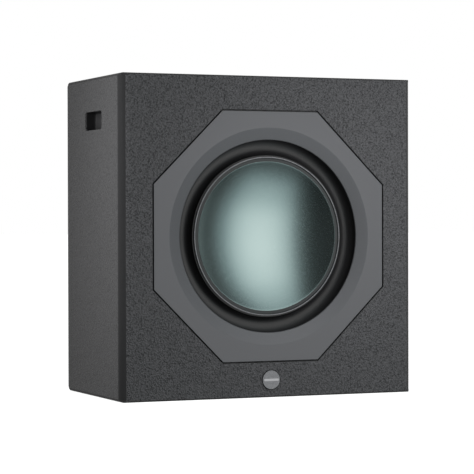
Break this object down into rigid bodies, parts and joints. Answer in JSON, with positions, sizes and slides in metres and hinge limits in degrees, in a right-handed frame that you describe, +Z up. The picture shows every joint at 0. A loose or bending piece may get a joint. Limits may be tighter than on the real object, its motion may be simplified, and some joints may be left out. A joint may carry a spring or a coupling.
{
  "type": "subwoofer",
  "caption": "Near-square sealed active subwoofer with an octagonal trim plate round a dished metal cone, hand pockets in its sides and a plate amplifier behind.",
  "frame": {"origin": "under the middle of the whole object's box, on the surface that the cabinet stands on", "axes": "+Z up, -Y out of the front where the cone faces, +X to the right seen from the front, so -X is the side with left_handle_cup"},
  "size_m": [0.555, 0.3306, 0.56],
  "materials": {
    "textured_paint": "fibreboard with pebble-textured paint",
    "satin_paint": "fibreboard with satin paint",
    "cup_paint": "moulded, satin painted",
    "fibreboard": "raw board",
    "black_plastic": "moulded, fine grain",
    "wadding": "soft polyester fibre",
    "trim": "satin",
    "teal_metal": "anodised, fine spun satin",
    "spun_metal": "spun satin",
    "rubber": "matte",
    "foam": "closed cell foam",
    "cast_metal": "black powder coated casting",
    "former": "thin wrapped former",
    "copper": "enamelled wire",
    "spider_cloth": "resin treated weave",
    "steel": "zinc plated",
    "ferrite": "sintered, matte",
    "bolt_steel": "black oxide",
    "amp_paint": "black, fine texture",
    "board_green": "solder resist",
    "lens": "clear tinted"
  },
  "bodies": {
    "cabinet": {"front_baffle": "textured_paint", "back_panel": "satin_paint", "top_panel": "satin_paint", "bottom_panel": "satin_paint", "left_panel": "satin_paint", "right_panel": "satin_paint", "window_brace": "fibreboard", "left_handle_cup": "cup_paint", "right_handle_cup": "cup_paint", "terminal_block": "black_plastic", "rocker_bezel": "black_plastic", "mains_inlet": "black_plastic", "upper_wadding": "wadding", "lower_wadding": "wadding", "trim_plate": "trim", "badge": "spun_metal", "speaker_wire": "rubber", "driver_gasket": "foam", "amp_gasket": "foam", "basket_frame": "cast_metal", "heat_sink": "cast_metal", "transformer": "copper", "top_plate": "steel", "back_yoke": "steel", "level_pot": "steel", "crossover_pot": "steel", "phase_pot": "steel", "auto_switch_body": "steel", "line_input_left": "steel", "line_input_right": "steel", "board_rail_left": "steel", "board_rail_right": "steel", "transformer_bolt": "steel", "magnet_ring": "ferrite", "driver_bolt_1": "bolt_steel", "driver_bolt_2": "bolt_steel", "driver_bolt_3": "bolt_steel", "driver_bolt_4": "bolt_steel", "driver_bolt_5": "bolt_steel", "driver_bolt_6": "bolt_steel", "driver_bolt_7": "bolt_steel", "driver_bolt_8": "bolt_steel", "amp_plate": "amp_paint", "circuit_board": "board_green", "capacitor_left": "black_plastic", "capacitor_right": "black_plastic", "status_led": "lens"},
    "cone": {"cone_dish": "teal_metal", "coil_former": "former", "voice_coil": "copper", "surround": "rubber", "spider": "spider_cloth", "tinsel_lead_left": "copper", "tinsel_lead_right": "copper"},
    "level_knob": {"level_knob": "black_plastic"},
    "crossover_knob": {"crossover_knob": "black_plastic"},
    "phase_knob": {"phase_knob": "black_plastic"},
    "power_rocker": {"power_rocker": "black_plastic"},
    "auto_switch_lever": {"auto_switch_lever": "black_plastic"},
    "fuse_drawer": {"fuse_drawer": "black_plastic"}
  },
  "joints": [
    {"name": "cone_travel", "type": "slide", "parent": "cabinet", "child": "cone", "axis": [0, -1, 0], "range_m": [-0.012, 0.012], "stiffness_N_per_m": 3700, "deforming": ["surround", "spider", "tinsel_lead_left", "tinsel_lead_right"]},
    {"name": "level_turn", "type": "hinge", "parent": "cabinet", "child": "level_knob", "pos_m": [-0.06, 0.1402, 0.275], "axis": [0, -1, 0], "range_deg": [-150, 150]},
    {"name": "crossover_turn", "type": "hinge", "parent": "cabinet", "child": "crossover_knob", "pos_m": [0, 0.1402, 0.275], "axis": [0, -1, 0], "range_deg": [-150, 150]},
    {"name": "phase_turn", "type": "hinge", "parent": "cabinet", "child": "phase_knob", "pos_m": [0.06, 0.1402, 0.275], "axis": [0, -1, 0], "range_deg": [-150, 150]},
    {"name": "power_rocker_tilt", "type": "hinge", "parent": "cabinet", "child": "power_rocker", "pos_m": [-0.055, 0.1372, 0.155], "axis": [1, 0, 0], "range_deg": [0, 16]},
    {"name": "auto_switch_slide", "type": "slide", "parent": "cabinet", "child": "auto_switch_lever", "axis": [1, 0, 0], "range_m": [-0.003, 0.003]},
    {"name": "fuse_drawer_slide", "type": "slide", "parent": "cabinet", "child": "fuse_drawer", "axis": [0, 1, 0], "range_m": [0, 0.018]}
  ]
}
